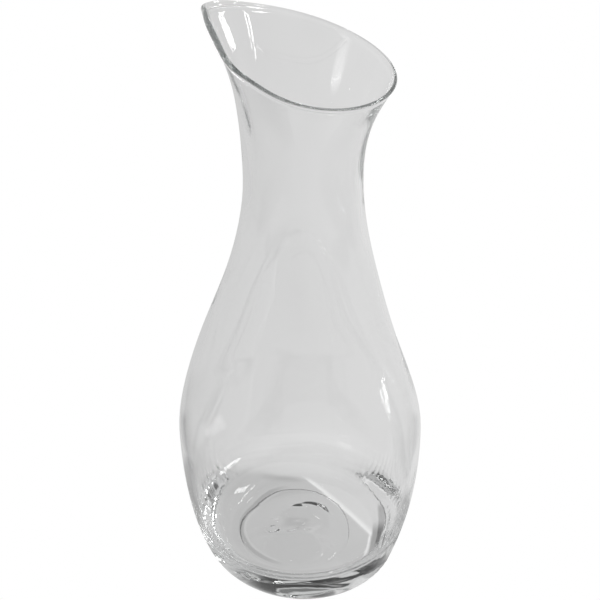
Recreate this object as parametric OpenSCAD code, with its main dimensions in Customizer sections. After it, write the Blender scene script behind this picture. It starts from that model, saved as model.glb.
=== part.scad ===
// Hand-blown clear glass carafe with a slanted, fire-polished mouth and a pulled pouring lip.
// The glass is drawn as the zones that the maker forms one after another: a thick base with a
// hollow underside, the belly, the shoulder, the neck, the flared mouth, the pouring lip, the
// rounded rim and the pontil scar. Each zone is a solid of its own and meets the next one face to
// face.
// The axis of the vessel is Z, the table is at z = 0, and the pouring lip points towards -X.

/* [Base] */
// Radius of the outer edge of the flat ring that the carafe stands on
foot_r = 33.2; // [30:0.1:36]
// Radius of the inner edge of that ring, where the hollow underside begins
punt_r = 27.4; // [25:0.1:29]
// Height of the small rounded step at that edge
punt_step_h = 0.8; // [0.4:0.1:1.2]
// Width of the step
punt_step_w = 0.9; // [0.5:0.1:1.4]
// Slope of the hollow underside just inside the step, in degrees
punt_slope = 7; // [3:0.5:10]
// Depth of the hollow underside at its roof
punt_h = 3.1; // [2.6:0.1:4.5]
// Radius of the flat roof of the hollow underside
punt_roof_r = 18.5; // [18:0.1:20]
// Height of the joint between base and belly
base_h = 29.5; // [27:0.5:34]
// Height of the inner floor above the table, at the middle
floor_z = 17.5; // [14.5:0.5:19.5]
// Radius at which the inner floor starts to curve up into the wall
floor_r = 22; // [16:0.5:24]
// How much lower the floor's rim lies than its middle
floor_dome = 0.6; // [0:0.1:2]
// How far the floor's curve reaches outwards before it turns up
floor_pull = 17; // [12:0.5:18]
// How far the inner wall runs down straight before it turns into the floor
corner_pull = 9; // [6:0.5:10]

/* [Heel] */
// Radius of the outside where the heel's curve ends
heel_r = 45.3; // [42:0.1:47]
// Height of that place
heel_z = 9.8; // [8:0.1:12]
// Outward lean of the wall there, in degrees from upright
heel_lean = 21.2; // [14:0.1:26]
// How far the heel's curve starts out flat along the table
heel_out = 5.1; // [1:0.1:8]
// How far the heel's curve arrives straight at its upper end
heel_up = 7.5; // [5:0.1:8]

/* [Body] */
// Radius of the outside at the widest place
belly_r = 55; // [51:0.5:60]
// Height of the widest place
belly_z = 74.2; // [68:0.1:82]
// How far the wall keeps its lean above the heel
flank_pull = 17.5; // [12:0.1:22]
// How far the wall runs upright below the widest place
belly_pull_low = 22.6; // [16:0.1:26]
// How far the wall runs upright above the widest place
belly_pull_high = 28.6; // [22:0.1:36]
// Thickness of the wall of belly, shoulder and neck, square to the surface
body_wall = 2.4; // [1.8:0.1:3.2]
// Height of the joint between shoulder and neck above the widest place
shoulder_h = 75.8; // [62:0.1:90]

/* [Neck] */
// Radius of the outside at the narrowest place
waist_r = 25.1; // [22:0.1:28]
// Height of the narrowest place, where the mouth begins to flare, above the widest one
waist_h = 135.4; // [126:0.1:144]
// How far the neck runs upright below its narrowest place
waist_pull = 49; // [38:0.5:54]

/* [Mouth] */
// Thickness of the mouth's wall at the rim, square to the surface
mouth_wall = 1.7; // [1.4:0.1:2.4]
// Radius of the slanted mouth, to the outside
mouth_r = 36.3; // [33:0.1:38]
// Height of the mouth's slanted plane at the axis, above the narrowest place
mouth_h = 56; // [50:0.1:64]
// How much higher the plane lies at the lip's side than at the axis
slant_rise = 10; // [6:0.1:12]
// Turn of the slant away from the lip, in degrees
slant_turn = 3; // [-4:0.1:6]
// How much further out the low side of the mouth reaches
low_reach = 2; // [0:0.1:4]
// Outward lean of the wall at the low side, in degrees from upright
low_lean = 28.4; // [18:0.1:32]
// Outward lean of the wall at the lip, in degrees from upright
lip_lean = 20.9; // [12:0.1:26]
// Part of the mouth's height over which the wall still runs upright above the narrowest place
upright_share = 0.466; // [0.35:0.005:0.52]
// Part of the mouth's height over which the wall holds its lean below the rim
flare_share = 0.348; // [0.25:0.005:0.4]

/* [Lip] */
// How much further out the lip reaches than the rest of the mouth
lip_reach = 3.3; // [1:0.1:7]
// How much the lip rises above the mouth's slanted plane
lip_rise = 9; // [5:0.1:13]
// Number of sections that the lip takes up on each side of its middle
lip_sections = 8; // [5:1:12]

/* [Rim] */
// How much thicker the rounded bead round the mouth is than the wall that it ends
rim_swell = 0.3; // [0.2:0.1:0.8]
// How much thicker still the bead is at the lip
rim_lip_swell = 1; // [0:0.1:1.4]

/* [Pontil scar] */
// Mean radius of the broken patch under the base
scar_r = 11.4; // [8:0.1:12]
// Greatest depth of the patch below the roof of the hollow underside
scar_h = 1.6; // [0.8:0.1:2.2]
// How far the patch lies off the axis, away from the viewer
scar_shift = 5; // [0:0.1:5.4]

/* [Smoothness] */
// Number of sections round the mouth
around = 80; // [72:4:96]
// Steps along each long curve of the wall
curve_steps = 16; // [10:1:20]
// Steps up the wall of the mouth
mouth_steps = 12; // [8:1:16]
// Steps over the rounded top of the rim
bead_steps = 9; // [6:1:12]

/* [Hidden] */
$fn = 96;
glass = [0.82, 0.86, 0.86, 0.45];
thick_glass = [0.74, 0.8, 0.8, 0.55];
bright_glass = [0.9, 0.93, 0.93, 0.6];
scar_glass = [0.66, 0.7, 0.7, 0.8];
// Halvings of the search for the place on a curve that lies at a given height
halvings = 30;
// Sharpness of the lip's rise and of its reach, as powers of how near a section is to the lip
rise_power = 7;
reach_power = 9;
// How far the roof and the slope of the hollow underside run straight, as shares of the width between them
punt_pull_shares = [0.5, 0.3];
// How far the step runs level at its top and at its foot, as a share of its width
step_pull_share = 0.6;
// Lobes of the broken patch: how many round it, how strong, and the angle that each starts from
scar_lobe_shares = [[2, 0.18, 90], [3, 0.06, 200], [5, 0.04, 75]];
// Rings of the broken patch: share of its radius and share of its depth
scar_ring_shares = [[1, 0], [0.97, 0.3], [0.86, 0.62], [0.66, 0.8], [0.42, 0.7], [0.2, 0.95]];
// How unevenly deep the patch is broken, as a share of its depth
scar_break_share = 0.2;
// Sections round the broken patch
scar_sections = 40;

// Heights of the joints and of the mouth above the table
neck_z = belly_z + shoulder_h;
waist_z = belly_z + waist_h;
mouth_z = waist_z + mouth_h;

// The heel's curve starts flat on the table and ends at the wall's lean.
heel_way = [tan(heel_lean), 1];
heel_curve = [
    [foot_r, 0],
    [foot_r + heel_out, 0],
    [heel_r, heel_z] - heel_up * heel_way,
    [heel_r, heel_z]
];
// The flank runs on from the heel and is upright at the widest place.
flank_curve = [
    [heel_r, heel_z],
    [heel_r, heel_z] + flank_pull * heel_way,
    [belly_r, belly_z - belly_pull_low],
    [belly_r, belly_z]
];
// The shoulder is upright at the widest place and at the narrowest one.
shoulder_curve = [
    [belly_r, belly_z],
    [belly_r, belly_z + belly_pull_high],
    [waist_r, waist_z - waist_pull],
    [waist_r, waist_z]
];

// Place on a cubic curve with four control points, at t from 0 to 1
function place(c, t) =
    pow(1 - t, 3) * c[0] + 3 * pow(1 - t, 2) * t * c[1] + 3 * (1 - t) * t * t * c[2] + pow(t, 3) * c[3];

// Direction of the curve at t, not made a unit
function way(c, t) =
    3 * pow(1 - t, 2) * (c[1] - c[0]) + 6 * (1 - t) * t * (c[2] - c[1]) + 3 * t * t * (c[3] - c[2]);

// The t at which a rising curve reaches a height
function t_at(c, z, low = 0, high = 1, left = halvings) =
    let (middle = (low + high) / 2)
    left == 0 ? middle
    : place(c, middle)[1] < z ? t_at(c, z, middle, high, left - 1)
    : t_at(c, z, low, middle, left - 1);

// Places on a curve from t0 to t1
function stretch(c, t0, t1) = [for (i = [0 : curve_steps]) place(c, t0 + (t1 - t0) * i / curve_steps)];

// Inner wall beside a place on the outer wall, at the same height, so that joints are level
function inside_of(c, t) =
    let (w = way(c, t))
    place(c, t) - [body_wall * norm(w) / w[1], 0];

// Places on the inner wall from t0 to t1
function inner_stretch(c, t0, t1) = [for (i = [0 : curve_steps]) inside_of(c, t0 + (t1 - t0) * i / curve_steps)];

base_t = t_at(flank_curve, base_h);
neck_t = t_at(shoulder_curve, neck_z);

// The inner corner runs down from the wall and turns into the floor.
base_inner = inside_of(flank_curve, base_t);
wall_way = way(flank_curve, base_t);
floor_rim_z = floor_z - floor_dome;
corner_curve = [
    base_inner,
    base_inner - corner_pull * wall_way / norm(wall_way),
    [floor_r + floor_pull, floor_rim_z],
    [floor_r, floor_rim_z]
];
// The middle of the floor is slightly domed.
floor_curve = [
    [floor_r, floor_rim_z],
    [floor_r * 2 / 3, floor_rim_z],
    [floor_r / 3, floor_z],
    [0, floor_z]
];
// The hollow underside runs from its flat roof out to a small step beside the standing ring.
step_r = punt_r - punt_step_w;
punt_width = step_r - punt_roof_r;
punt_curve = [
    [punt_roof_r, punt_h],
    [punt_roof_r + punt_pull_shares[0] * punt_width, punt_h],
    [step_r, punt_step_h] + punt_pull_shares[1] * punt_width * [-1, tan(punt_slope)],
    [step_r, punt_step_h]
];
step_curve = [
    [step_r, punt_step_h],
    [step_r + step_pull_share * punt_step_w, punt_step_h],
    [punt_r - step_pull_share * punt_step_w, 0],
    [punt_r, 0]
];

// Nearness of a direction to the lip: 0 on the low side, 1 at the lip
function near_lip(angle) = (1 - cos(angle)) / 2;

// Height and radius of the bead's outside at a direction
function rim_height(angle) =
    mouth_z - slant_rise * cos(angle - slant_turn) + lip_rise * pow(near_lip(angle), rise_power);
function rim_radius(angle) =
    mouth_r + low_reach * pow(1 - near_lip(angle), 2) + lip_reach * pow(near_lip(angle), reach_power);

// Lean of the wall at the rim, and the radius of the bead's section
function rim_lean(angle) = low_lean + (lip_lean - low_lean) * near_lip(angle);
function bead_radius(angle) = (mouth_wall + rim_swell + rim_lip_swell * pow(near_lip(angle), rise_power)) / 2;

// Distance from the wall's cut edge up to the middle of the bead
function bead_lift(angle) = sqrt(pow(bead_radius(angle), 2) - pow(mouth_wall / 2, 2));

// Outer curve of the mouth at a direction, from the narrowest place up to the wall's cut edge
function mouth_curve(angle) =
    let (
        up = [sin(rim_lean(angle)), cos(rim_lean(angle))],
        edge = [rim_radius(angle), rim_height(angle)] - bead_lift(angle) * up,
        rise = rim_height(angle) - waist_z
    )
    [
        [waist_r, waist_z],
        [waist_r, waist_z + upright_share * rise],
        edge - flare_share * rise * up,
        edge
    ];

// Inner place of the mouth, square to the outer wall, which thins towards the rim
function mouth_inside(c, t) =
    let (w = way(c, t), wall = body_wall + (mouth_wall - body_wall) * t)
    place(c, t) - wall * [w[1], -w[0]] / norm(w);

// Places out of a section's plane into space
function turned(points, angle) = [for (p = points) [p[0] * cos(angle), p[0] * sin(angle), p[1]]];

// Section of the mouth's wall: up the outside, down the inside
function mouth_section(angle) =
    let (c = mouth_curve(angle))
    turned([
        for (i = [0 : mouth_steps]) place(c, i / mouth_steps),
        for (i = [mouth_steps : -1 : 0]) mouth_inside(c, i / mouth_steps)
    ], angle);

// Section of the bead: from the wall's inner edge over the top to its outer edge
function bead_section(angle) =
    let (
        c = mouth_curve(angle),
        lean = rim_lean(angle),
        radius = bead_radius(angle),
        middle = (place(c, 1) + mouth_inside(c, 1)) / 2 + bead_lift(angle) * [sin(lean), cos(lean)],
        half = acos(-bead_lift(angle) / radius)
    )
    turned([
        for (i = [0 : bead_steps])
            let (a = lean - half + 2 * half * i / bead_steps)
            middle + radius * [sin(a), cos(a)]
    ], angle);

// Triangles between neighbouring sections of a size, from the first one on
function skin(size, count, closed, flip) = [
    for (k = [0 : count - (closed ? 1 : 2)])
        for (j = [0 : size - 1])
            let (
                a = k * size + j,
                b = ((k + 1) % count) * size + j,
                c = ((k + 1) % count) * size + (j + 1) % size,
                d = k * size + (j + 1) % size
            )
            each (flip ? [[a, b, c], [a, c, d]] : [[a, c, b], [a, d, c]])
];

// Flat end of a wall: a strip between the points up the outside and those down the inside
function wall_end(size, from, flip) = [
    for (j = [0 : size / 2 - 2])
        let (a = from + j, b = from + j + 1, c = from + size - 2 - j, d = from + size - 1 - j)
        each (flip ? [[a, c, b], [a, d, c]] : [[a, b, c], [a, c, d]])
];

// Solid through a row of sections, closed in a ring or ended by flat faces
module swept(sections, closed = true, flip = false) {
    size = len(sections[0]);
    count = len(sections);
    ends = closed ? [] : concat(wall_end(size, 0, false), wall_end(size, (count - 1) * size, true));
    polyhedron(
        points = [for (s = sections) each s],
        faces = concat(skin(size, count, closed, flip), ends),
        convexity = 6
    );
}

function section_angle(i) = 360 * i / around;
lip_middle = around / 2;

// Thick foot, heel and inner floor over the hollow underside
module base() {
    color(thick_glass)
        rotate_extrude()
            polygon(concat(
                [[0, punt_h]],
                stretch(punt_curve, 0, 1),
                stretch(step_curve, 0, 1),
                stretch(heel_curve, 0, 1),
                stretch(flank_curve, 0, base_t),
                stretch(corner_curve, 0, 1),
                stretch(floor_curve, 0, 1)
            ));
}

// Ring of wall along a stretch of an outer curve
module wall_ring(c, t0, t1) {
    inner = inner_stretch(c, t0, t1);
    rotate_extrude()
        polygon(concat(stretch(c, t0, t1), [for (i = [len(inner) - 1 : -1 : 0]) inner[i]]));
}

// Belly up to its widest place
module belly() {
    color(glass) wall_ring(flank_curve, base_t, 1);
}

// Shoulder from the widest place up to the neck
module shoulder() {
    color(glass) wall_ring(shoulder_curve, 0, neck_t);
}

// Neck up to its narrowest place
module neck() {
    color(glass) wall_ring(shoulder_curve, neck_t, 1);
}

// Flared mouth, all round but for the lip
module mouth() {
    first = lip_middle + lip_sections;
    last = lip_middle - lip_sections + around;
    color(glass)
        swept([for (i = [first : last]) mouth_section(section_angle(i))], closed = false);
}

// Wall of the pouring lip
module pouring_lip() {
    first = lip_middle - lip_sections;
    last = lip_middle + lip_sections;
    color(glass)
        swept([for (i = [first : last]) mouth_section(section_angle(i))], closed = false);
}

// Rounded bead round the whole mouth, thicker at the lip
module rim() {
    color(bright_glass)
        swept([for (i = [0 : around - 1]) bead_section(section_angle(i))], flip = true);
}

// Outline of the broken patch, as a share of its mean radius
function scar_outline(angle, i = 0) =
    i == len(scar_lobe_shares) ? 1
    : let (lobe = scar_lobe_shares[i])
      lobe[1] * sin(lobe[0] * angle + lobe[2]) + scar_outline(angle, i + 1);

// Depth of the patch at a direction, as a share of its greatest depth
function scar_depth(angle) = 1 - scar_break_share * (1 + sin(2 * angle + 110)) / 2;

// Broken patch of glass where the rod was snapped off, on the roof of the hollow underside
module pontil_scar() {
    rings = len(scar_ring_shares);
    tip = rings * scar_sections;
    points = [
        for (ring = scar_ring_shares)
            for (k = [0 : scar_sections - 1])
                let (angle = 360 * k / scar_sections, reach = scar_r * ring[0] * scar_outline(angle))
                [
                    reach * cos(angle),
                    scar_shift + reach * sin(angle),
                    punt_h - scar_h * ring[1] * scar_depth(angle)
                ],
        [0, scar_shift, punt_h - scar_h]
    ];
    walls = [
        for (r = [0 : rings - 2])
            for (k = [0 : scar_sections - 1])
                let (
                    next = (k + 1) % scar_sections,
                    a = r * scar_sections + k,
                    b = r * scar_sections + next,
                    c = (r + 1) * scar_sections + next,
                    d = (r + 1) * scar_sections + k
                )
                each [[a, b, c], [a, c, d]]
    ];
    top = [[for (k = [scar_sections - 1 : -1 : 0]) k]];
    inner = (rings - 1) * scar_sections;
    bottom = [for (k = [0 : scar_sections - 1]) [inner + k, inner + (k + 1) % scar_sections, tip]];
    color(scar_glass)
        polyhedron(points = points, faces = concat(top, walls, bottom), convexity = 4);
}

base();
belly();
shoulder();
neck();
mouth();
pouring_lip();
rim();
pontil_scar();
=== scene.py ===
"""Clear hand-blown carafe with a slanted mouth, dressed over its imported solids.

The real object is one piece of glass, so it is one closed mesh here: glass with inner
partings would show each of them as a bright line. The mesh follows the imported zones
(base, belly, shoulder, neck, mouth, pouring lip, rim and pontil scar) and adds what hand work
leaves: a slightly leaning shoulder, an uneven rim, chill ripples at the heel, a wavy
wall and the broken surface of the scar.
"""

import logging
from dataclasses import dataclass, field
from enum import Enum

import bpy
import numpy as np
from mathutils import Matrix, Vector


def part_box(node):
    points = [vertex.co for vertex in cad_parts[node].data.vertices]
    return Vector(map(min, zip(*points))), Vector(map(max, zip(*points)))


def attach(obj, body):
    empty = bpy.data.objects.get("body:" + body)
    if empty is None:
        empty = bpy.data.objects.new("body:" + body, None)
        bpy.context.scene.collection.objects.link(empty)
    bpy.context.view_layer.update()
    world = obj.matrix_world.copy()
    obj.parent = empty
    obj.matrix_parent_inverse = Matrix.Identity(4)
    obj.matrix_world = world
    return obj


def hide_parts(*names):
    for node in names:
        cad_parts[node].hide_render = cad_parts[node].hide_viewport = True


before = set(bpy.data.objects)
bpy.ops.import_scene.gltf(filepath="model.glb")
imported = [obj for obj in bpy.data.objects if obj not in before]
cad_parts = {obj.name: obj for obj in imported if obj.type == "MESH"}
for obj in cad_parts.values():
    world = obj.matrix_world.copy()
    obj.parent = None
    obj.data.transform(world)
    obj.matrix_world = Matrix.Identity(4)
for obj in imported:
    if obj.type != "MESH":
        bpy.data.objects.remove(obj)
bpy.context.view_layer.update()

MM = 0.001
FINE_STEPS = 4000
LOG = logging.getLogger("carafe")
Array = np.ndarray
Way = tuple[float, float, float]


def linear(hex_colour: str) -> tuple[float, float, float, float]:
    """Turn an sRGB hex colour into linear light, by the standard sRGB curve.

    Args:
        hex_colour: Six hex digits, such as "E8ECEC".

    Returns:
        Red, green, blue in linear light, and an alpha of 1.
    """
    srgb = np.array([int(hex_colour[i : i + 2], 16) for i in (0, 2, 4)]) / 255
    light = np.where(srgb <= 0.04045, srgb / 12.92, ((srgb + 0.055) / 1.055) ** 2.4)
    return (*light.tolist(), 1.0)


def add_node(
    tree: bpy.types.NodeTree,
    kind: str,
    settings: dict[str, str] | None = None,
    **links: object,
) -> bpy.types.Node:
    """Add a node, set its properties and fill or link its inputs.

    Args:
        tree: Node tree that gets the node.
        kind: Blender's type name of the node.
        settings: Properties of the node, by name.
        **links: Values or output sockets, by input name with spaces as underscores, or by n and
            the input's number.

    Returns:
        The new node.
    """
    node = tree.nodes.new(kind)
    for name, value in (settings or {}).items():
        setattr(node, name, value)
    for name, value in links.items():
        key = int(name[1:]) if name[0] == "n" and name[1:].isdigit() else name.replace("_", " ")
        socket = node.inputs[key]
        if isinstance(value, bpy.types.NodeSocket):
            tree.links.new(value, socket)
        else:
            socket.default_value = value
    return node


def cubic(c: Array, t: Array | float) -> Array:
    """Cubic curve: (1-t)^3 c0 + 3 (1-t)^2 t c1 + 3 (1-t) t^2 c2 + t^3 c3.

    Args:
        c: Control points, with the four of them on the first axis.
        t: Places along the curve, from 0 to 1, on axes of their own before those of a point.

    Returns:
        Points, one for each t.
    """
    return (1 - t) ** 3 * c[0] + 3 * (1 - t) ** 2 * t * c[1] + 3 * (1 - t) * t**2 * c[2] + t**3 * c[3]


def cubic_way(c: Array, t: Array | float) -> Array:
    """Direction of the cubic curve: its derivative 3 (1-t)^2 (c1-c0) + 6 (1-t) t (c2-c1) + 3 t^2 (c3-c2).

    Args:
        c: Control points, as for cubic.
        t: Places along the curve, as for cubic.

    Returns:
        Directions, one for each t, not made units.
    """
    return 3 * (1 - t) ** 2 * (c[1] - c[0]) + 6 * (1 - t) * t * (c[2] - c[1]) + 3 * t**2 * (c[3] - c[2])


def smooth_step(x: Array, low: float, high: float) -> Array:
    """Go from 0 at low to 1 at high along 3 s^2 - 2 s^3.

    Args:
        x: Values to look up.
        low: Value that gives 0.
        high: Value that gives 1.

    Returns:
        Shares from 0 to 1.
    """
    s = np.clip((x - low) / (high - low), 0, 1)
    return s * s * (3 - 2 * s)


def bell(x: Array, middle: float, width: float) -> Array:
    """Bell curve exp(-((x - middle) / width)^2).

    Args:
        x: Values to look up.
        middle: Value that gives 1.
        width: Distance from the middle at which the bell is down to 0.37.

    Returns:
        Shares from 0 to 1.
    """
    return np.exp(-(((x - middle) / width) ** 2))


def turn_distance(angle: Array, middle: float) -> Array:
    """Signed difference between two directions, from -pi to pi.

    Args:
        angle: Directions in radians.
        middle: Direction to measure from, in radians.

    Returns:
        Differences in radians.
    """
    return np.angle(np.exp(1j * (angle - middle)))


@dataclass(frozen=True)
class Waves:
    """Smooth random surface: a sum of sine waves that close round the vessel.

    Each wave is sin(m angle + k height + phase), with whole numbers m, so that it meets itself.
    """

    seed: int
    count: int
    around: tuple[int, int]
    up: float

    def at(self, angle: Array, height: Array) -> Array:
        """Height of the surface, about 1 at its strongest.

        Args:
            angle: Directions in radians.
            height: Heights in metres.

        Returns:
            Values with a mean square of one half.
        """
        rng = np.random.default_rng(self.seed)
        m = rng.integers(self.around[0], self.around[1] + 1, self.count) * rng.choice([-1, 1], self.count)
        k = rng.normal(0, 2 * np.pi / self.up, self.count)
        phase = rng.uniform(0, 2 * np.pi, self.count)
        strength = 1 / np.sqrt(self.count)
        waves = np.sin(m * angle[..., None] + k * height[..., None] + phase)
        return strength * waves.sum(axis=-1)


@dataclass
class Outline:
    """Outer and inner outline of the vessel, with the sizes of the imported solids.

    Only low_side_thinner isn't in them: how much thinner the rim's wall is opposite the lip.
    """

    foot_r: float = 33.2 * MM
    punt_r: float = 27.4 * MM
    punt_step_h: float = 0.8 * MM
    punt_step_w: float = 0.9 * MM
    punt_slope: float = np.radians(7)
    punt_h: float = 3.1 * MM
    punt_roof_r: float = 18.5 * MM
    punt_pull_shares: tuple[float, float] = (0.5, 0.3)
    step_pull_share: float = 0.6
    floor_z: float = 17.5 * MM
    floor_r: float = 22 * MM
    floor_dome: float = 0.6 * MM
    floor_pull: float = 17 * MM
    corner_pull: float = 9 * MM
    heel_r: float = 45.3 * MM
    heel_z: float = 9.8 * MM
    heel_lean: float = np.radians(21.2)
    heel_out: float = 5.1 * MM
    heel_up: float = 7.5 * MM
    belly_z: float = 74.2 * MM
    flank_pull: float = 17.5 * MM
    belly_pull_low: float = 22.6 * MM
    belly_pull_high: float = 28.6 * MM
    body_wall: float = 2.4 * MM
    waist_r: float = 25.1 * MM
    waist_pull: float = 49 * MM
    mouth_wall: float = 1.7 * MM
    low_side_thinner: float = 0.4 * MM
    mouth_r: float = 36.3 * MM
    mouth_h: float = 56 * MM
    slant_rise: float = 10 * MM
    slant_turn: float = np.radians(3)
    low_reach: float = 2 * MM
    low_lean: float = np.radians(28.4)
    lip_lean: float = np.radians(20.9)
    upright_share: float = 0.466
    flare_share: float = 0.348
    lip_reach: float = 3.3 * MM
    lip_rise: float = 9 * MM
    rim_swell: float = 0.3 * MM
    rim_lip_swell: float = 1 * MM
    rise_power: int = 7
    reach_power: int = 9
    belly_r: float = field(default_factory=lambda: float(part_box("belly")[1][0]))
    base_h: float = field(default_factory=lambda: float(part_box("base")[1][2]))
    waist_z: float = field(default_factory=lambda: float(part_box("mouth")[0][2]))

    def heel(self) -> Array:
        """Control points of the heel, which starts flat on the table.

        Returns:
            Four points as radius and height.
        """
        way = np.array([np.tan(self.heel_lean), 1])
        top = np.array([self.heel_r, self.heel_z])
        return np.array([[self.foot_r, 0], [self.foot_r + self.heel_out, 0], top - self.heel_up * way, top])

    def flank(self) -> Array:
        """Control points of the flank, from the heel to the widest place.

        Returns:
            Four points as radius and height.
        """
        way = np.array([np.tan(self.heel_lean), 1])
        low = np.array([self.heel_r, self.heel_z])
        high = np.array([self.belly_r, self.belly_z])
        return np.array([low, low + self.flank_pull * way, high - [0, self.belly_pull_low], high])

    def shoulder(self) -> Array:
        """Control points of the shoulder and neck, from the widest to the narrowest place.

        Returns:
            Four points as radius and height.
        """
        low = np.array([self.belly_r, self.belly_z])
        high = np.array([self.waist_r, self.waist_z])
        return np.array([low, low + [0, self.belly_pull_high], high - [0, self.waist_pull], high])

    def flank_share(self, height: float) -> float:
        """Place from 0 to 1 on the flank's curve at a height in metres, to the nearest fine step."""
        t = np.linspace(0, 1, FINE_STEPS + 1)
        return float(t[np.argmin(abs(cubic(self.flank(), t[:, None])[:, 1] - height))])

    def wall_place(self, height: float) -> tuple[Array, Array]:
        """Place and direction of the inner wall of the flank at a height.

        Args:
            height: Height in metres.

        Returns:
            The place as radius and height, and a unit direction that points up the wall.
        """
        share = self.flank_share(height)
        way = cubic_way(self.flank(), share)
        way = way / np.linalg.norm(way)
        return cubic(self.flank(), share) - [self.body_wall / way[1], 0], way

    def near_lip(self, angle: Array) -> Array:
        """Nearness to the lip: (1 - cos angle) / 2, which is 0 on the low side and 1 at the lip."""
        return (1 - np.cos(angle)) / 2

    def rim_lean(self, angle: Array) -> Array:
        """Lean of the wall at the rim, in radians from upright."""
        return self.low_lean + (self.lip_lean - self.low_lean) * self.near_lip(angle)

    def edge_wall(self, angle: Array) -> Array:
        """Thickness of the wall at the rim, which hand work leaves thinner on the low side."""
        return self.mouth_wall - self.low_side_thinner * (1 - self.near_lip(angle))

    def bead_radius(self, angle: Array) -> Array:
        """Radius of the bead's section, larger at the lip."""
        swell = self.rim_swell + self.rim_lip_swell * self.near_lip(angle) ** self.rise_power
        return (self.edge_wall(angle) + swell) / 2

    def bead_lift(self, angle: Array) -> Array:
        """Distance from the wall's edge up to the middle of the bead."""
        return np.sqrt(self.bead_radius(angle) ** 2 - (self.edge_wall(angle) / 2) ** 2)

    def mouth(self, angle: Array, more_rise: Array, more_reach: Array, lip_turn: float) -> Array:
        """Control points of the mouth's outside for each direction.

        Args:
            angle: Directions in radians.
            more_rise: How much higher than a plain slant the hand-cut rim lies, in metres.
            more_reach: How much further out than a plain circle it lies, in metres.
            lip_turn: How far the lip is turned from -X, in radians.

        Returns:
            Control points with axes of point, direction, and radius or height.
        """
        near = self.near_lip(angle)
        lip = self.near_lip(angle - lip_turn)
        lean = self.rim_lean(angle)
        rim_z = self.waist_z + self.mouth_h - self.slant_rise * np.cos(angle - self.slant_turn)
        rim_z = rim_z + self.lip_rise * lip**self.rise_power + more_rise
        rim_r = self.mouth_r + self.low_reach * (1 - near) ** 2
        rim_r = rim_r + self.lip_reach * lip**self.reach_power + more_reach
        up = np.stack([np.sin(lean), np.cos(lean)], -1)
        edge = np.stack([rim_r, rim_z], -1) - self.bead_lift(angle)[:, None] * up
        rise = (rim_z - self.waist_z)[:, None]
        start = np.broadcast_to([self.waist_r, self.waist_z], edge.shape)
        upright = start + self.upright_share * rise * [0, 1]
        flared = edge - self.flare_share * rise * up
        return np.stack([start, upright, flared, edge])


@dataclass
class HandRim:
    """How the hand-cut rim differs from a plain slanted circle with a lip on the axis.

    The tip is the point of the lip and the fold its near side, each with its place round the rim.
    """

    turn: float = np.radians(2.9)
    rise_cos: float = 1.15 * MM
    rise_sin: float = -0.92 * MM
    reach_cos: float = -0.91 * MM
    reach_sin: float = -0.48 * MM
    reach_side: float = 1.28 * MM
    tip: float = 2.46 * MM
    tip_drop: float = 1.07 * MM
    tip_at: float = np.radians(163.4)
    tip_width: float = np.radians(11.3)
    fold: float = 1.96 * MM
    fold_at: float = np.radians(221.6)
    fold_width: float = np.radians(14)
    square_power: float = 3.5

    def squareness(self, turn: Array, half: Array, near: Array) -> Array:
        """Reach of the bead's section as a share of its radius: fire-polished flat, but round at the lip.

        The section is a circle that swells towards (|cos|^n + |sin|^n)^(-1/n) on its top: by
        1 - (turn / half)^4 of that, and by 1 - near^2 of it towards the lip.

        Args:
            turn: Directions in the section from the wall's own, in radians.
            half: Direction at which the bead meets the wall.
            near: Nearness to the lip, from 0 to 1.

        Returns:
            Shares of the bead's radius.
        """
        n = self.square_power
        square = (np.abs(np.cos(turn)) ** n + np.abs(np.sin(turn)) ** n) ** (-1 / n)
        return 1 + (square - 1) * (1 - (turn / half) ** 4) * (1 - near**2)

    def rise(self, angle: Array) -> Array:
        """Height gained: c cos 2a + s sin 2a, less a bell at the lip's tip."""
        tip = bell(turn_distance(angle, self.tip_at), 0, self.tip_width)
        return self.rise_cos * np.cos(2 * angle) + self.rise_sin * np.sin(2 * angle) - self.tip_drop * tip

    def reach(self, angle: Array) -> Array:
        """Radius gained: c cos 2a + s sin 2a + t sin a, and bells at the lip's tip and at its near fold.

        Args:
            angle: Directions in radians.

        Returns:
            Lengths in metres.
        """
        tip = self.tip * bell(turn_distance(angle, self.tip_at), 0, self.tip_width)
        fold = self.fold * bell(turn_distance(angle, self.fold_at), 0, self.fold_width)
        oval = self.reach_cos * np.cos(2 * angle) + self.reach_sin * np.sin(2 * angle)
        return oval + self.reach_side * np.sin(angle) + tip + fold


@dataclass
class HandFoot:
    """How the pressed underside and the foot lie off the vessel's axis, and how uneven they are.

    The step by the standing ring is widest at wide_at and lowest at faint_at. The roof is wide
    at the front, and elsewhere only roof_share as wide, with an evener ramp down from it.
    """

    punt_x: float = -3.6 * MM
    punt_y: float = -1.2 * MM
    foot_x: float = 2.0 * MM
    foot_fade: float = 7 * MM
    wide_at: float = np.radians(190)
    wide_width: float = np.radians(48)
    wide_share: float = 1.5
    faint_at: float = np.radians(-38)
    faint_width: float = np.radians(50)
    faint_share: float = 0.8
    front: float = np.radians(-90)
    front_flat: float = np.radians(40)
    front_fade: float = np.radians(80)
    roof_share: float = 0.35
    ramp_shares: tuple[float, float] = (0.33, 0.33)

    def back(self, angle: Array) -> Array:
        """Share by direction that is 0 at the front, where the roof is wide, and 1 elsewhere."""
        return smooth_step(np.abs(turn_distance(angle, self.front)), self.front_flat, self.front_fade)

    def step_widths(self, angle: Array) -> Array:
        """Width of the step by the standing ring, as a share: wider at one side."""
        return 1 + self.wide_share * bell(turn_distance(angle, self.wide_at), 0, self.wide_width)

    def step_heights(self, angle: Array) -> Array:
        """Height of the step, as a share: lower at one side."""
        return 1 - self.faint_share * bell(turn_distance(angle, self.faint_at), 0, self.faint_width)


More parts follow.
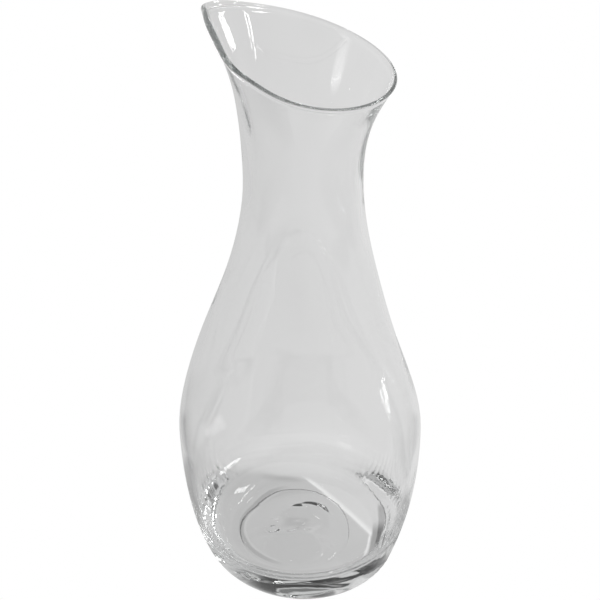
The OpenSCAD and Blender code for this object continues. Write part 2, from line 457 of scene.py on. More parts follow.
@dataclass
class HandWork:
    """What hand work leaves on the wall: lean, waves and chill ripples.

    A pair named low gives the heights between which a pattern sets in, and a pair named high
    those between which it fades out. The neck's are above the narrowest place, the floor's
    above the inner floor, and all others above the table.
    """

    lean: float = -2.3 * MM
    lean_z: float = 118 * MM
    lean_width: float = 42 * MM
    low_lean: float = -0.8 * MM
    low_lean_z: float = 23.6 * MM
    wave: float = 0.2 * MM
    wave_low: tuple[float, float] = (2 * MM, 20 * MM)
    neck_high: tuple[float, float] = (30 * MM, 52 * MM)
    floor_low: tuple[float, float] = (1 * MM, 6 * MM)
    thickness_wave: float = 0.16 * MM
    ripple: float = 0.036 * MM
    ripple_low: tuple[float, float] = (17 * MM, 24 * MM)
    ripple_high: tuple[float, float] = (28 * MM, 46 * MM)
    outer_ripple: float = 0.04 * MM
    outer_ripple_low: tuple[float, float] = (1 * MM, 6 * MM)
    outer_ripple_high: tuple[float, float] = (24 * MM, 46 * MM)
    side_shares: tuple[float, float] = (0.5, 0.78)
    right_share: float = 1.3
    patch_levels: tuple[float, float] = (-0.9, 0.6)
    fold_steepness: float = 1.2
    broad: Waves = Waves(seed=11, count=14, around=(1, 5), up=110 * MM)
    inner_broad: Waves = Waves(seed=23, count=14, around=(2, 7), up=60 * MM)
    ripples: Waves = Waves(seed=37, count=26, around=(45, 130), up=30 * MM)
    outer_ripples: Waves = Waves(seed=67, count=26, around=(40, 110), up=30 * MM)
    ripple_patches: Waves = Waves(seed=41, count=8, around=(2, 6), up=40 * MM)

    def drift(self, height: Array) -> Array:
        """Sideways place of the axis: a bell round the shoulder and a smaller shift low down.

        Args:
            height: Heights in metres.

        Returns:
            Shifts along X in metres.
        """
        low = self.low_lean * (1 - smooth_step(height, self.low_lean_z, self.lean_z))
        return self.lean * bell(height, self.lean_z, self.lean_width) + low

    def at_sides(self, angle: Array) -> Array:
        """Share of the ripples by direction: none at front and back, all at the left, more at the right."""
        side = smooth_step(np.abs(np.cos(angle)), *self.side_shares)
        return side * np.where(np.cos(angle) > 0, self.right_share, 1)

    def outer_wave(self, angle: Array, height: Array) -> Array:
        """Outward move of the outside: broad waves, faded out on the foot, and fine ripples at the heel.

        Args:
            angle: Directions in radians.
            height: Heights in metres.

        Returns:
            Moves in metres, positive outwards.
        """
        fade = smooth_step(height, *self.wave_low)
        heel = smooth_step(height, *self.outer_ripple_low)
        heel = heel * (1 - smooth_step(height, *self.outer_ripple_high))
        fine = self.outer_ripple * heel * self.at_sides(angle) * self.outer_ripples.at(angle, height)
        return self.wave * fade * self.broad.at(angle, height) + fine

    def inner_wave(self, angle: Array, height: Array) -> Array:
        """Outward move of the inside: the outside's waves, changes of thickness and chill ripples.

        The ripples are short upright folds, 1 - 2 |tanh(steepness waves)|, strongest at the heel.

        Args:
            angle: Directions in radians.
            height: Heights in metres.

        Returns:
            Moves in metres, positive outwards.
        """
        thick = self.thickness_wave * self.inner_broad.at(angle, height)
        zone = smooth_step(height, *self.ripple_low) * (1 - smooth_step(height, *self.ripple_high))
        patch = smooth_step(self.ripple_patches.at(angle, height), *self.patch_levels)
        patch = patch * self.at_sides(angle)
        folds = 1 - 2 * np.abs(np.tanh(self.fold_steepness * self.ripples.at(angle, height)))
        return self.outer_wave(angle, height) + thick + self.ripple * zone * patch * folds


@dataclass(frozen=True)
class Chip:
    """Shell-shaped hollow where a flake broke away, in metres and radians.

    It is steep along one arc and shallow towards the arc's middle: depth (away / radius)^2
    inside the arc, times a bell of the direction.
    """

    x: float
    y: float
    radius: float
    towards: float
    half_width: float
    depth: float
    edge: float

    def height(self, x: Array, y: Array) -> Array:
        """Height of the hollow above the face that it broke from.

        Args:
            x: Places along X in metres.
            y: Places along Y in metres.

        Returns:
            Heights in metres.
        """
        away = np.hypot(x - self.x, y - self.y)
        angle = np.arctan2(y - self.y, x - self.x)
        sector = bell(turn_distance(angle, self.towards), 0, self.half_width)
        dish = (away / self.radius).clip(0, 1) ** 2
        return self.depth * sector * dish * smooth_step(self.radius - away, 0, self.edge)


@dataclass
class Scar:
    """Pontil scar: a low broken patch on the roof of the hollow underside, with chips in it.

    Each of its lobes has a share of the radius, a number of times round, and a phase.
    """

    radius: float = 11.4 * MM
    depth: float = 0.7 * MM
    shift: float = 5 * MM
    edge: float = 6 * MM
    lobes: tuple[tuple[float, int, float], ...] = ((0.18, 2, np.pi / 2), (0.06, 3, 3.5), (0.04, 5, 1.3))
    chips: tuple[Chip, ...] = (
        Chip(1.2 * MM, 1.2 * MM, 14.9 * MM, np.radians(61), np.radians(42), 1.5 * MM, 3.6 * MM),
        Chip(-4.5 * MM, 4.4 * MM, 9.4 * MM, np.radians(72), np.radians(32), 1 * MM, 1.8 * MM),
        Chip(-2.5 * MM, -3 * MM, 8.5 * MM, np.radians(90), np.radians(40), 0.6 * MM, 2.6 * MM),
        Chip(-8 * MM, -5 * MM, 9 * MM, np.radians(125), np.radians(15), -0.8 * MM, 1.2 * MM),
        Chip(-14.5 * MM, 1 * MM, 3.4 * MM, 0, np.radians(400), -1.8 * MM, 1.2 * MM),
        Chip(-17.9 * MM, 8.9 * MM, 8 * MM, np.radians(-36), np.radians(18), 0.7 * MM, 0.9 * MM),
    )

    def drop(self, x: Array, y: Array) -> Array:
        """Depth of the patch below the roof: a swelling of lobed radius, less its chips.

        Each lobe is share sin(times angle + phase).

        Args:
            x: Places along X in metres.
            y: Places along Y in metres.

        Returns:
            Depths in metres, about 0 outside the patch.
        """
        away = np.hypot(x, y - self.shift)
        angle = np.arctan2(y - self.shift, x)
        lobes = 1 + sum(share * np.sin(times * angle + phase) for share, times, phase in self.lobes)
        swelling = self.depth * smooth_step(self.radius * lobes - away, 0, self.edge)
        return swelling - sum(chip.height(x, y) for chip in self.chips)


class Shade(Enum):
    """Colours as sRGB hex: white of the glass and the stage, the glass's depth, and the grey sweep."""

    WHITE = "FFFFFF"
    GLASS_DEPTH = "B6BAB9"
    SWEEP = "CFCFCF"


@dataclass(frozen=True)
class BlownGlass:
    """Soda-lime glass, blown and fire-polished: clear and colourless, faintly grey where thick.

    The surface is smooth with a faint orange-peel from the flame, too slight to blur. It only
    makes the edges of what the glass mirrors and bends a little uneven.
    """

    ior: float = 1.5
    roughness: float = 0.0
    absorption: float = 4.5
    peel_size: float = 9 * MM
    peel_depth: float = 0.012 * MM
    peel_detail: float = 2.0
    peel_roughness: float = 0.4

    def material(self) -> bpy.types.Material:
        """Build the glass with its absorption and its faint orange-peel.

        Returns:
            The material.
        """
        made = bpy.data.materials.new("blown_soda_lime_glass")
        made.use_nodes = True
        tree = made.node_tree
        tree.nodes.clear()
        place = add_node(tree, "ShaderNodeTexCoord")
        peel = add_node(
            tree,
            "ShaderNodeTexNoise",
            Vector=place.outputs["Object"],
            Scale=1 / self.peel_size,
            Detail=self.peel_detail,
            Roughness=self.peel_roughness,
        )
        bump = add_node(
            tree,
            "ShaderNodeBump",
            Strength=1.0,
            Distance=self.peel_depth,
            Height=peel.outputs["Fac"],
        )
        glass = add_node(
            tree,
            "ShaderNodeBsdfPrincipled",
            Base_Color=linear(Shade.WHITE.value),
            Roughness=self.roughness,
            IOR=self.ior,
            Transmission_Weight=1.0,
            Normal=bump.outputs["Normal"],
        )
        depth = add_node(
            tree,
            "ShaderNodeVolumeAbsorption",
            Color=linear(Shade.GLASS_DEPTH.value),
            Density=self.absorption,
        )
        add_node(
            tree,
            "ShaderNodeOutputMaterial",
            Surface=glass.outputs["BSDF"],
            Volume=depth.outputs["Volume"],
        )
        return made


@dataclass(frozen=True)
class Rows:
    """Numbers of rows of the vessel's grid, on each stretch of its outline."""

    roof: int = 24
    slope: int = 20
    step: int = 7
    ring: int = 2
    heel: int = 24
    flank: int = 28
    shoulder: int = 24
    mouth: int = 24
    bead: int = 14
    mouth_inside: int = 18
    shoulder_inside: int = 18
    flank_inside: int = 18
    corner: int = 22
    floor: int = 6

    def under(self) -> int:
        """Number of rows on the underside."""
        return self.roof + self.slope + self.step + self.ring

    def outside(self) -> int:
        """Number of rows from the middle of the underside up to the top of the rim."""
        return self.under() + self.heel + self.flank + self.shoulder + self.mouth + self.bead // 2


@dataclass
class Vessel:
    """The whole vessel as one closed surface on a grid of direction and place along the outline."""

    outline: Outline = field(default_factory=Outline)
    hand: HandWork = field(default_factory=HandWork)
    hand_rim: HandRim = field(default_factory=HandRim)
    hand_foot: HandFoot = field(default_factory=HandFoot)
    scar: Scar = field(default_factory=Scar)
    glass: BlownGlass = field(default_factory=BlownGlass)
    rows: Rows = Rows()
    around: int = 400
    side_share: float = 0.4

    def angles(self) -> Array:
        """Directions of the grid's columns: u - (share / 2) sin 2u, closer together at left and right."""
        turn = np.arange(self.around) * 2 * np.pi / self.around
        return turn - self.side_share / 2 * np.sin(2 * turn)

    def plain(self, curve: Array, rows: int) -> Array:
        """Rows of a curve, the same in every direction or with its own control points in each.

        Args:
            curve: Control points, with axes of point, direction if any, and radius or height.
            rows: Number of rows, without the last place.

        Returns:
            Radius and height, on axes of row, direction, and radius or height.
        """
        if curve.ndim == 2:
            curve = np.repeat(curve[:, None], self.around, axis=1)
        return cubic(curve, np.linspace(0, 1, rows, endpoint=False)[:, None, None])

    def straight(self, start: Array, end: Array, rows: int) -> Array:
        """Rows of a straight line: start + (end - start) t.

        Args:
            start: Radius and height of its start, in each direction or in all of them.
            end: Radius and height of its end, likewise.
            rows: Number of rows, without the last place.

        Returns:
            Radius and height, as for plain.
        """
        t = np.linspace(0, 1, rows, endpoint=False)[:, None, None]
        line = np.asarray(start) + (np.asarray(end) - np.asarray(start)) * t
        return np.broadcast_to(line, (rows, self.around, 2))

    def inside(self, curve: Array, rows: int, end: float = 0) -> Array:
        """Rows down the inner wall beside a curve, at the same heights as the outer wall.

        Args:
            curve: Control points of the outer curve.
            rows: Number of rows, without the last place.
            end: Place on the curve to end before.

        Returns:
            Radius and height, as for plain.
        """
        t = np.linspace(1, end, rows, endpoint=False)[:, None]
        way = cubic_way(curve, t)
        step = self.outline.body_wall * np.linalg.norm(way, axis=-1) / way[:, 1]
        points = cubic(curve, t) - np.stack([step, 0 * step], -1)
        return np.repeat(points[:, None], self.around, axis=1)

    def underside(self) -> Array:
        """Rows from the middle of the hollow underside out to the standing ring's outer edge.

        Returns:
            Radius and height, as for plain.
        """
        o = self.outline
        angle = self.angles()
        step_w = o.punt_step_w * self.hand_foot.step_widths(angle)
        step_h = o.punt_step_h * self.hand_foot.step_heights(angle)
        step_r = o.punt_r - step_w
        back = self.hand_foot.back(angle)
        roof_r = o.punt_roof_r * (1 - (1 - self.hand_foot.roof_share) * back)
        flat = np.zeros(self.around)
        width = step_r - roof_r
        pulls = zip(o.punt_pull_shares, self.hand_foot.ramp_shares)
        first, last = (wide + (ramp - wide) * back for wide, ramp in pulls)
        slope = np.array([
            [roof_r, flat + o.punt_h],
            [roof_r + first * width, flat + o.punt_h],
            [step_r - last * width, step_h + last * width * np.tan(o.punt_slope)],
            [step_r, step_h],
        ])
        step = np.array([
            [step_r, step_h],
            [step_r + o.step_pull_share * step_w, step_h],
            [o.punt_r - o.step_pull_share * step_w, flat],
            [flat + o.punt_r, flat],
        ])
        middle = np.stack([flat, flat + o.punt_h], -1)
        rim = np.stack([roof_r, flat + o.punt_h], -1)
        return np.concatenate([
            self.straight(middle, rim, self.rows.roof),
            self.plain(slope.transpose(0, 2, 1), self.rows.slope),
            self.plain(step.transpose(0, 2, 1), self.rows.step),
            self.straight([[o.punt_r, 0]], [[o.foot_r, 0]], self.rows.ring),
        ])

    def mouth_rows(self) -> Array:
        """Rows up the outside of the mouth, over the bead and down the inside.

        The bead is middle + radius (sin turn, cos turn), from the outer wall over to the inner one.

        Returns:
            Radius and height, as for plain.
        """
        o = self.outline
        angle = self.angles()
        rim = self.hand_rim
        curve = o.mouth(angle, rim.rise(angle), rim.reach(angle), rim.turn)
        t = np.linspace(1, 0, self.rows.mouth_inside, endpoint=False)[:, None, None]
        way = cubic_way(curve, t)
        square = np.stack([way[..., 1], -way[..., 0]], -1) / np.linalg.norm(way, axis=-1, keepdims=True)
        wall = o.body_wall + (o.edge_wall(angle)[:, None] - o.body_wall) * t
        inner = cubic(curve, t) - wall * square
        lean = o.rim_lean(angle)
        radius = o.bead_radius(angle)
        lift = o.bead_lift(angle)
        up = np.stack([np.sin(lean), np.cos(lean)], -1)
        middle = (curve[3] + inner[0]) / 2 + lift[:, None] * up
        half = np.arccos(-lift / radius)
        turn = lean + half * np.linspace(1, -1, self.rows.bead, endpoint=False)[:, None]
        full = radius * rim.squareness(turn - lean, half, o.near_lip(angle))
        bead = middle + full[..., None] * np.stack([np.sin(turn), np.cos(turn)], -1)
        return np.concatenate([self.plain(curve, self.rows.mouth), bead, inner])

    def floor_rows(self) -> Array:
        """Rows down the inner corner and over the domed floor to its middle.

        Returns:
            Radius and height, as for plain.
        """
        o = self.outline
        start, way = o.wall_place(o.base_h)
        rim_z = o.floor_z - o.floor_dome
        corner = np.array([
            start,
            start - o.corner_pull * way,
            [o.floor_r + o.floor_pull, rim_z],
            [o.floor_r, rim_z],
        ])
        dome = np.array([
            [o.floor_r, rim_z],
            [o.floor_r * 2 / 3, rim_z],
            [o.floor_r / 3, o.floor_z],
            [0, o.floor_z],
        ])
        return np.concatenate([self.plain(corner, self.rows.corner), self.plain(dome, self.rows.floor)])

    def grid(self) -> Array:
        """Rows over the whole outline, from the underside's middle to the inner floor's.

        Returns:
            Radius and height, as for plain.
        """
        o = self.outline
        return np.concatenate([
            self.underside(),
            self.plain(o.heel(), self.rows.heel),
            self.plain(o.flank(), self.rows.flank),
            self.plain(o.shoulder(), self.rows.shoulder),
            self.mouth_rows(),
            self.inside(o.shoulder(), self.rows.shoulder_inside),
            self.inside(o.flank(), self.rows.flank_inside, o.flank_share(o.base_h)),
            self.floor_rows(),
        ])

    def points(self) -> Array:
        """Points of the grid, with hand work and the scar.

        Returns:
            Points on axes of row, direction, and X, Y or Z, without the two poles.
        """
        o, foot = self.outline, self.hand_foot
        rows = self.grid()
        angle = np.broadcast_to(self.angles(), rows.shape[:2])
        r, z = rows[..., 0].copy(), rows[..., 1].copy()
        row = np.arange(len(rows))[:, None]
        under = row < self.rows.under()
        outside = row < self.rows.outside()
        below_rim = 1 - smooth_step(z - o.waist_z, *self.hand.neck_high)
        above_floor = smooth_step(z - o.floor_z, *self.hand.floor_low)
        outer = self.hand.outer_wave(angle, z) * below_rim
        inner = self.hand.inner_wave(angle, z) * below_rim * above_floor
        r += np.where(outside, outer, inner)
        across = ((r - o.punt_r) / (o.foot_r - o.punt_r)).clip(0, 1)
        low = foot.foot_x * bell(z, 0, foot.foot_fade)
        aside = np.where(under, foot.punt_x + (foot.foot_x - foot.punt_x) * across, low)
        back = np.where(under, foot.punt_y * (1 - across), 0)
        x = r * np.cos(angle) + self.hand.drift(z) + np.where(outside, aside, 0)
        y = r * np.sin(angle) + np.where(outside, back, 0)
        # the scar stays off the step and the standing ring
        high_enough = under & (z > 2 * o.punt_step_h)
        z -= np.where(high_enough, self.scar.drop(x, y), 0)
        return np.stack([x, y, z], -1)[1:]

    def mesh(self) -> bpy.types.Mesh:
        """Close the grid into a mesh: quads between rows, and a fan at each pole.

        Returns:
            The mesh, with smooth shading and faces outwards.
        """
        grid = self.points()
        rows, columns = grid.shape[:2]
        low = grid[0].mean(axis=0)
        high = grid[-1].mean(axis=0)
        vertices = np.concatenate([grid.reshape(-1, 3), [low, high]])
        row = np.arange(rows - 1)[:, None] * columns
        here = np.arange(columns)[None]
        after = (here + 1) % columns
        corners = [row + here, row + after, row + columns + after, row + columns + here]
        quads = np.stack(corners, -1).reshape(-1, 4)
        south, north = len(vertices) - 2, len(vertices) - 1
        last = (rows - 1) * columns
        start = np.stack([np.full(columns, south), after[0], here[0]], -1)
        end = np.stack([np.full(columns, north), last + here[0], last + after[0]], -1)
        made = bpy.data.meshes.new("carafe_glass")
        made.from_pydata(vertices.tolist(), [], quads.tolist() + start.tolist() + end.tolist())
        made.polygons.foreach_set("use_smooth", np.ones(len(made.polygons), bool))
        made.update()
        return made

    def build(self) -> bpy.types.Object:
        """Make the piece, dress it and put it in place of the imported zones.

        Returns:
            The glass object.
        """
        piece = bpy.data.objects.new("carafe_glass", self.mesh())
        bpy.context.scene.collection.objects.link(piece)
        piece.data.materials.append(self.glass.material())
        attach(piece, "root")
        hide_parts("base", "belly", "shoulder", "neck", "mouth", "pouring_lip", "rim", "pontil_scar")
        return piece


class Measure(Enum):
    """What a soft edge goes by: a place's reach along a direction, or its distance from a point."""

    ALONG = "DOT_PRODUCT"
    AWAY = "DISTANCE"


@dataclass(frozen=True)
class SoftEdge:
    """Share that goes softly from 0 at start to 1 at end of its measure, along 3 s^2 - 2 s^3."""

    way: Way
    start: float
    end: float
    measure: Measure = Measure.ALONG

    def socket(self, tree: bpy.types.NodeTree, place: bpy.types.NodeSocket) -> bpy.types.NodeSocket:
        """Build the edge.

        Args:
            tree: Node tree that gets the nodes.
            place: Socket with the place on the floor, or the direction in the room.

        Returns:
            The socket with the share.
        """
        measure = {"operation": self.measure.value}
        found = add_node(tree, "ShaderNodeVectorMath", measure, n0=place, n1=self.way)
        ends = {"From_Min": self.start, "From_Max": self.end}
        kind = {"interpolation_type": "SMOOTHSTEP"}
        return add_node(tree, "ShaderNodeMapRange", kind, Value=found.outputs["Value"], **ends).outputs[0]


@dataclass(frozen=True)
class LightMark:
    """Change of light, as a share of the full light, where all of its soft edges are passed."""

    amount: float
    edges: tuple[SoftEdge, ...]


def light_share(
    tree: bpy.types.NodeTree,
    place: bpy.types.NodeSocket,
    marks: tuple[LightMark, ...],
) -> bpy.types.NodeSocket:
    """Light as a share of its full strength: 1 plus each mark's amount times the product of its edges.

    Args:
        tree: Node tree that gets the nodes.
        place: Socket with the place on the floor, or the direction in the room.
        marks: Changes of light.

    Returns:
        The socket with the share.
    """
    total = 1.0
    for mark in marks:
        share = mark.amount
        for edge in mark.edges:
            both = {"n0": edge.socket(tree, place), "n1": share}
            share = add_node(tree, "ShaderNodeMath", {"operation": "MULTIPLY"}, **both).outputs[0]
        total = add_node(tree, "ShaderNodeMath", {"operation": "ADD"}, n0=share, n1=total).outputs[0]
    return total


def stage_light(
    tree: bpy.types.NodeTree,
    kind: str,
    coordinate: str,
    marks: tuple[LightMark, ...],
) -> bpy.types.NodeSocket:
    """Light of the stage: white to the eye, and grey with its marks to what mirrors or bends it.

    Args:
        tree: Node tree that gets the nodes.
        kind: Blender's type name of the node that gives the light.
        coordinate: Texture coordinate that gives the place or the direction.
        marks: Changes of light.

    Returns:
        The socket with the light.
    """
    place = add_node(tree, "ShaderNodeTexCoord").outputs[coordinate]
    share = light_share(tree, place, marks)
    seen = add_node(tree, kind, Color=linear(Shade.WHITE.value), Strength=1.0)
    bent = add_node(tree, kind, Color=linear(Shade.SWEEP.value), Strength=share)
    ray = add_node(tree, "ShaderNodeLightPath").outputs["Is Camera Ray"]
    return add_node(tree, "ShaderNodeMixShader", n0=ray, n1=bent.outputs[0], n2=seen.outputs[0]).outputs[0]


def band(way: Way, places: tuple[float, ...], measure: Measure = Measure.ALONG) -> tuple[SoftEdge, ...]:
    """Two soft edges that leave a band, which comes from place 0 to 1 and goes from place 2 to 3.

    Args:
        way: Direction or point that the band goes by, as for SoftEdge.
        places: The four places in millimetres, none below the one before it.
        measure: What the band goes by, as for SoftEdge.

    Returns:
        Both edges.
    """
    first, full, fading, last = (place * MM for place in places)
    return SoftEdge(way, first, full, measure), SoftEdge(way, last, fading, measure)


# directions and places by which the marks go, as the camera sees them: +X right and +Y back
RIGHTWARDS = (1, 0, 0)
BACKWARDS = (0, 1, 0)
UPWARDS = (0, 0, 1)
VESSEL_MIDDLE = (0, 0, 0)
FOOT_MIDDLE = (2 * MM, 0, 0)
SHADE_SIDE = (0.778, 0.629, 0)
SHADE_BACK = (0.1, 1, 0)
SHADE_END = SoftEdge(SHADE_BACK, 38.5 * MM, 32.5 * MM)
LINE_SIDE = (1, -0.03, 0)
RING_MIDDLE = (-3.9 * MM, 1.5 * MM, 0)
RING_LEFT = SoftEdge(RIGHTWARDS, -6 * MM, -20 * MM)
PATCH_ALONG = (0.98, -0.2, 0)
PATCH_ACROSS = (0.2, 0.98, 0)
STREAK_ENDS = band(BACKWARDS, (-22, -14, 14, 22))
FLANK_BACK = SoftEdge(BACKWARDS, 105 * MM, 90 * MM)
CLOSE_BY = SoftEdge(VESSEL_MIDDLE, 230 * MM, 145 * MM, Measure.AWAY)
NOT_BEHIND = SoftEdge(BACKWARDS, 160 * MM, 115 * MM)
NOT_FAR = SoftEdge(VESSEL_MIDDLE, 450 * MM, 250 * MM, Measure.AWAY)
# painted shade and painted light on the floor: the vessel's shadow, caustic lines and darker or lighter
# patches, seen only through the glass
PAINTED_FLOOR_LIGHT = (
    # brighter towards the right, from where the light comes
    LightMark(0.2, (SoftEdge(RIGHTWARDS, -130 * MM, 130 * MM),)),
    # the vessel's soft shade, with a sharp edge at the right
    LightMark(
        -0.19,
        (
            SoftEdge(SHADE_SIDE, 22.9 * MM, 21.5 * MM),
            SHADE_END,
            SoftEdge(LINE_SIDE, 33.8 * MM, 32.8 * MM),
            SoftEdge(VESSEL_MIDDLE, 95 * MM, 55 * MM, Measure.AWAY),
        ),
    ),
    # light gathered along that edge
    LightMark(
        0.34,
        (
            *band(SHADE_SIDE, (22.2, 23.4, 23.4, 26.5)),
            SHADE_END,
            SoftEdge(LINE_SIDE, 35.5 * MM, 33.5 * MM),
        ),
    ),
    # darker core of the shade's back edge
    LightMark(-0.14, (*band(SHADE_BACK, (29.5, 34, 34, 37.5)), *band(RIGHTWARDS, (-26, -17, -7, 2)))),
    # painted light: thin bright caustic line beside the standing ring
    LightMark(0.6, (*band(LINE_SIDE, (31.8, 32.8, 32.8, 33.8)), *band(BACKWARDS, (-36, -30, -7, -3)))),
    # painted light: bright caustic patch where that line meets the front of the heel
    LightMark(0.5, (SoftEdge((28 * MM, -33 * MM, 0), 5.5 * MM, 3 * MM, Measure.AWAY),)),
    # painted light: lighter floor behind the shade
    LightMark(
        0.07,
        (
            SoftEdge(SHADE_BACK, 34 * MM, 44 * MM),
            SoftEdge((0, 55 * MM, 0), 45 * MM, 15 * MM, Measure.AWAY),
        ),
    ),
    # painted shade and painted light: dark band and light line inside the standing ring at the left, where
    # the step bends light away
    LightMark(-0.22, (*band(RING_MIDDLE, (25, 25.8, 27.2, 28.2), Measure.AWAY), RING_LEFT)),
    LightMark(0.12, (*band(RING_MIDDLE, (23.8, 24.5, 24.5, 25.2), Measure.AWAY), RING_LEFT)),
    # painted shade: grey patch that the scar casts on the floor under it
    LightMark(-0.12, (*band(PATCH_ACROSS, (2, 4, 7, 9)), *band(PATCH_ALONG, (-12, -7, -1, 3)))),
    # painted shade: dark floor close to the heel at the right
    LightMark(
        -0.6,
        (
            SoftEdge(LINE_SIDE, 33.4 * MM, 34.9 * MM),
            SoftEdge(FOOT_MIDDLE, 85 * MM, 50 * MM, Measure.AWAY),
            SoftEdge(BACKWARDS, 6 * MM, -4 * MM),
        ),
    ),
    # painted shade and painted light: dark, light and dark caustic streaks beside it, which the ripples of
    # the heel draw out
    LightMark(-0.5, (*band(LINE_SIDE, (37, 38, 41, 42)), *STREAK_ENDS)),
    LightMark(0.5, (*band(LINE_SIDE, (42, 43, 45, 46)), *STREAK_ENDS)),
    LightMark(
        -0.45,
        (
            SoftEdge(LINE_SIDE, 46 * MM, 48 * MM),
            SoftEdge(FOOT_MIDDLE, 95 * MM, 75 * MM, Measure.AWAY),
            *band(BACKWARDS, (-4, 6, 19, 25)),
        ),
    ),
    # painted shade: dark patch of floor beside the heel at the left
    LightMark(
        -0.35,
        (
            SoftEdge(RIGHTWARDS, -62 * MM, -74 * MM),
            SoftEdge((-80 * MM, 26 * MM, 0), 30 * MM, 20 * MM, Measure.AWAY),
        ),
    ),
    # painted shade: darker floor that the very edges of the flanks show
    LightMark(-0.32, (SoftEdge(RIGHTWARDS, -97 * MM, -105 * MM), FLANK_BACK, CLOSE_BY)),
    LightMark(-0.22, (SoftEdge(RIGHTWARDS, 98 * MM, 106 * MM), FLANK_BACK, CLOSE_BY)),
    # painted shade: greyer floor far out, which the flanks bend in along their edges
    LightMark(-0.18, (SoftEdge(RIGHTWARDS, -105 * MM, -160 * MM), NOT_BEHIND, NOT_FAR)),
    LightMark(-0.12, (SoftEdge(RIGHTWARDS, 120 * MM, 170 * MM), NOT_BEHIND, NOT_FAR)),
)
ROOM_ABOVE = SoftEdge(UPWARDS, np.sin(np.radians(14)), np.sin(np.radians(38)))
ROOM_MIDDLE = SoftEdge(RIGHTWARDS, 0.6, 0.25)
ROOM_BEHIND = SoftEdge((0.07, 1, 0), 0.94, 0.98)
ABOVE_TABLE = SoftEdge(UPWARDS, 0.01, 0.07)
WINDOW_WAY = (-0.732, -0.659, 0.174)
ROOM_MARKS = (
    # brighter towards the right
    LightMark(0.2, (SoftEdge(RIGHTWARDS, -1, 1),)),
    # dark room above the sweep, less dark at the left and not at the right
    LightMark(-0.43, (ROOM_ABOVE, ROOM_MIDDLE)),
    LightMark(-0.65, (ROOM_ABOVE, ROOM_MIDDLE, SoftEdge(RIGHTWARDS, -0.8, -0.4))),
    # dark low part of the room straight behind, seen in the front of the heel
    LightMark(-0.85, (ROOM_BEHIND, ABOVE_TABLE)),
    # far window at the front left
    LightMark(2.6, (SoftEdge(WINDOW_WAY, np.cos(np.radians(12)), np.cos(np.radians(2))),)),
)


class Lamp(Enum):
    """Softboxes: turn from +X and rise in degrees, height faced in mm, width, height in m, radiance."""

    RIGHT = (5.7, -2.6, 270, 0.05, 0.26, 11)
    RIGHT_HIGH = (4, 35, 20, 0.6, 0.22, 10)
    BACK = (77, 50, 18, 0.14, 0.05, 12)


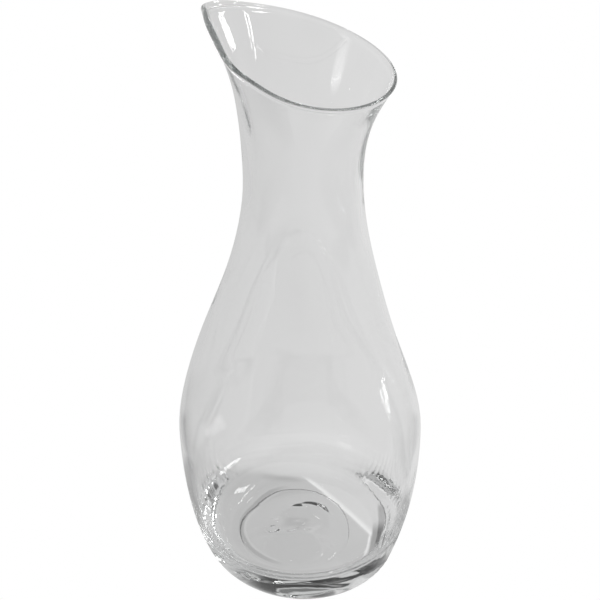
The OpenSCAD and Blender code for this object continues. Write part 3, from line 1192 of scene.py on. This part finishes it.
@dataclass
class Studio:
    """Pale floor with painted shade and painted light that only the glass shows, soft light and the camera
    at the photograph's angle.
    """

    distance: float = 880 * MM
    elevation: float = np.radians(37.23)
    aim_z: float = 145 * MM
    side: float = -1.3 * MM
    focal_px: float = 2022.6
    frame_px: float = 600
    sensor_mm: float = 36
    clip: tuple[float, float] = (10 * MM, 20)
    floor_r: float = 1.1
    floor_corners: int = 96
    bounces: int = 200
    lamp_away: float = 1.3

    def camera(self) -> bpy.types.Object:
        """Set up the camera that drew the photograph's perspective.

        Returns:
            The camera object, made the scene's own.
        """
        data = bpy.data.cameras.new("camera")
        data.sensor_width = self.sensor_mm
        data.lens = self.focal_px * self.sensor_mm / self.frame_px
        data.clip_start, data.clip_end = self.clip
        eye = bpy.data.objects.new("camera", data)
        back = self.distance * np.cos(self.elevation)
        eye.location = (self.side, -back, self.aim_z + self.distance * np.sin(self.elevation))
        aim = Vector((self.side, 0, self.aim_z))
        eye.rotation_euler = (aim - eye.location).to_track_quat("-Z", "Y").to_euler()
        bpy.context.scene.collection.objects.link(eye)
        bpy.context.scene.camera = eye
        return eye

    def floor(self) -> bpy.types.Object:
        """Round pale floor, white to the eye and light grey with painted shade and painted light to what
        mirrors or bends it.

        Returns:
            The floor object.
        """
        turn = np.arange(self.floor_corners) * 2 * np.pi / self.floor_corners
        ring = np.stack([self.floor_r * np.cos(turn), self.floor_r * np.sin(turn), 0 * turn], -1)
        data = bpy.data.meshes.new("floor")
        data.from_pydata(ring.tolist(), [], [list(range(len(ring)))])
        made = bpy.data.materials.new("pale_floor_painted_light_and_shade")
        made.use_nodes = True
        tree = made.node_tree
        tree.nodes.clear()
        light = stage_light(tree, "ShaderNodeEmission", "Object", PAINTED_FLOOR_LIGHT)
        add_node(tree, "ShaderNodeOutputMaterial", Surface=light)
        data.materials.append(made)
        piece = bpy.data.objects.new("floor", data)
        bpy.context.scene.collection.objects.link(piece)
        return piece

    def world(self) -> None:
        """Light of the room: white to the eye, a grey sweep low down and a dark room above it."""
        world = bpy.data.worlds.new("studio")
        bpy.context.scene.world = world
        world.use_nodes = True
        tree = world.node_tree
        tree.nodes.clear()
        light = stage_light(tree, "ShaderNodeBackground", "Generated", ROOM_MARKS)
        add_node(tree, "ShaderNodeOutputWorld", Surface=light)

    def softbox(self, lamp: Lamp) -> bpy.types.Object:
        """Hang a softbox that faces the vessel's axis and that the camera doesn't see.

        Its power is pi width height radiance, as of an evenly bright face.

        Args:
            lamp: Which one, with its direction, size and radiance.

        Returns:
            The light object.
        """
        turn, rise, faced, width, height, radiance = lamp.value
        turn, rise = np.radians(turn), np.radians(rise)
        data = bpy.data.lights.new(lamp.name.lower(), "AREA")
        data.shape = "RECTANGLE"
        data.size, data.size_y = width, height
        data.energy = radiance * np.pi * width * height
        piece = bpy.data.objects.new(lamp.name.lower(), data)
        way = Vector((np.cos(turn) * np.cos(rise), np.sin(turn) * np.cos(rise), np.sin(rise)))
        piece.location = Vector((0, 0, faced * MM)) + self.lamp_away * way
        piece.rotation_euler = (-way).to_track_quat("-Z", "Y").to_euler()
        piece.visible_camera = False
        bpy.context.scene.collection.objects.link(piece)
        return piece

    def build(self) -> None:
        """Set up the camera, the floor, the room's light and the softboxes."""
        self.camera()
        self.floor()
        self.world()
        for lamp in Lamp:
            self.softbox(lamp)
        scene = bpy.context.scene
        scene.view_settings.view_transform = "Standard"
        scene.view_settings.look = "None"
        for kind in ("max_bounces", "transmission_bounces", "glossy_bounces"):
            setattr(scene.cycles, kind, self.bounces)
        LOG.info("studio: camera %.0f mm away", self.distance / MM)


def main() -> None:
    """Build the studio and the vessel, and report each piece."""
    logging.basicConfig(level=logging.INFO, format="%(message)s")
    Studio().build()
    piece = Vessel().build()
    LOG.info("%s: %d faces", piece.name, len(piece.data.polygons))


if __name__ == "__main__":
    main()
